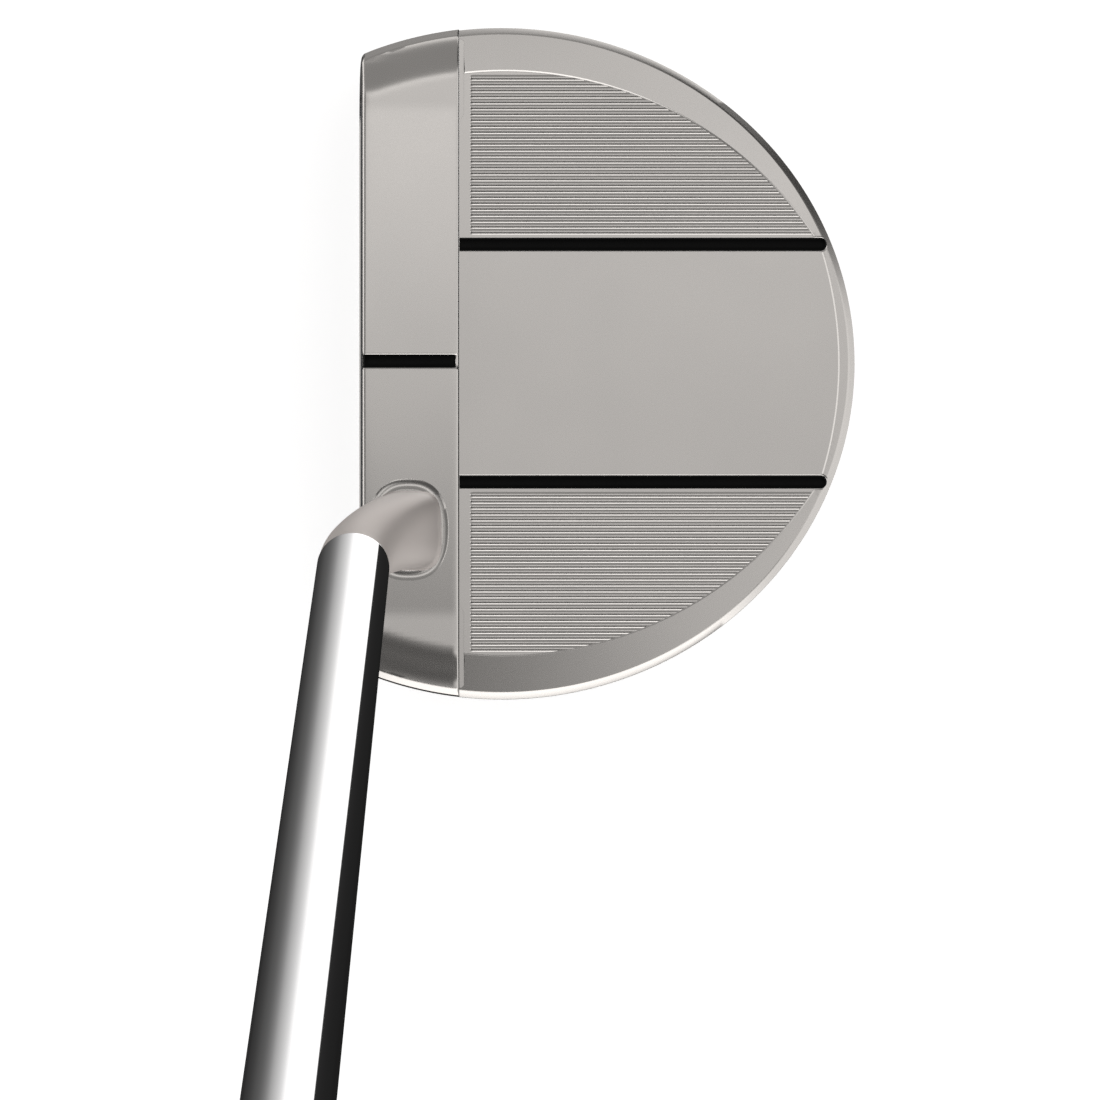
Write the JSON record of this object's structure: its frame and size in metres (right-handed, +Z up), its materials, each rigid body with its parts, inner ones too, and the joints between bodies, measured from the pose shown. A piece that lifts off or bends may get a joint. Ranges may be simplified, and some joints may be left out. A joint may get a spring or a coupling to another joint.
{
  "type": "mallet putter",
  "caption": "Half-round mallet putter with a raised front bar, ribbed flange, painted sight lines, short bent neck, chrome steel shaft and pistol grip.",
  "frame": {"origin": "on the shaft's axis at the middle of the grip, where two hands hold the club at address, 110 mm below the butt", "axes": "+Z up with the sole level on the ground, -Y the way the face looks (the target), +Y the back of the head, +X the heel and the player, -X the toe"},
  "size_m": [0.3673, 0.0897, 0.8154],
  "materials": {
    "stainless": "satin blasted stainless steel",
    "insert_polymer": "matte moulded polymer",
    "bond": "cured epoxy",
    "line_paint": "glossy black enamel infill",
    "sole_aluminium": "satin anodised",
    "badge": "glossy",
    "tape": "two-sided tape",
    "weight_steel": "turned stainless steel",
    "washer_rubber": "matte",
    "shaft_chrome": "polished chrome plate",
    "cork": "cork",
    "grip_rubber": "matte textured",
    "cap_plastic": "moulded"
  },
  "bodies": {
    "club": {"head_body": "stainless", "face_insert": "insert_polymer", "insert_bond": "bond", "bar_sight_line": "line_paint", "toe_sight_line": "line_paint", "heel_sight_line": "line_paint", "sole_plate": "sole_aluminium", "sole_badge": "badge", "badge_tape": "tape", "hosel_neck": "stainless", "shaft": "shaft_chrome", "shaft_bond": "bond", "tip_plug": "cork", "grip_tape": "tape", "grip": "grip_rubber", "grip_cap": "cap_plastic"},
    "toe_travel": {"toe_weight_washer": "washer_rubber"},
    "toe_screw": {"toe_weight": "weight_steel"},
    "heel_travel": {"heel_weight_washer": "washer_rubber"},
    "heel_screw": {"heel_weight": "weight_steel"}
  },
  "joints": [
    {"name": "toe_weight_travel", "type": "slide", "parent": "club", "child": "toe_travel", "axis": [0, 0, -1], "range_m": [0, 0.00601]},
    {"name": "toe_weight_turn", "type": "hinge", "parent": "toe_travel", "child": "toe_screw", "pos_m": [-0.29302, 0.03916, -0.7025], "axis": [0, 0, -1], "range_deg": [0, 2160]},
    {"name": "heel_weight_travel", "type": "slide", "parent": "club", "child": "heel_travel", "axis": [0, 0, -1], "range_m": [0, 0.00601]},
    {"name": "heel_weight_turn", "type": "hinge", "parent": "heel_travel", "child": "heel_screw", "pos_m": [-0.23902, 0.03916, -0.7025], "axis": [0, 0, -1], "range_deg": [0, 2160]}
  ],
  "couplings": [
    {"joint": "toe_weight_travel", "follows": "toe_weight_turn", "m_per_rad": 0.00015915},
    {"joint": "heel_weight_travel", "follows": "heel_weight_turn", "m_per_rad": 0.00015915}
  ]
}
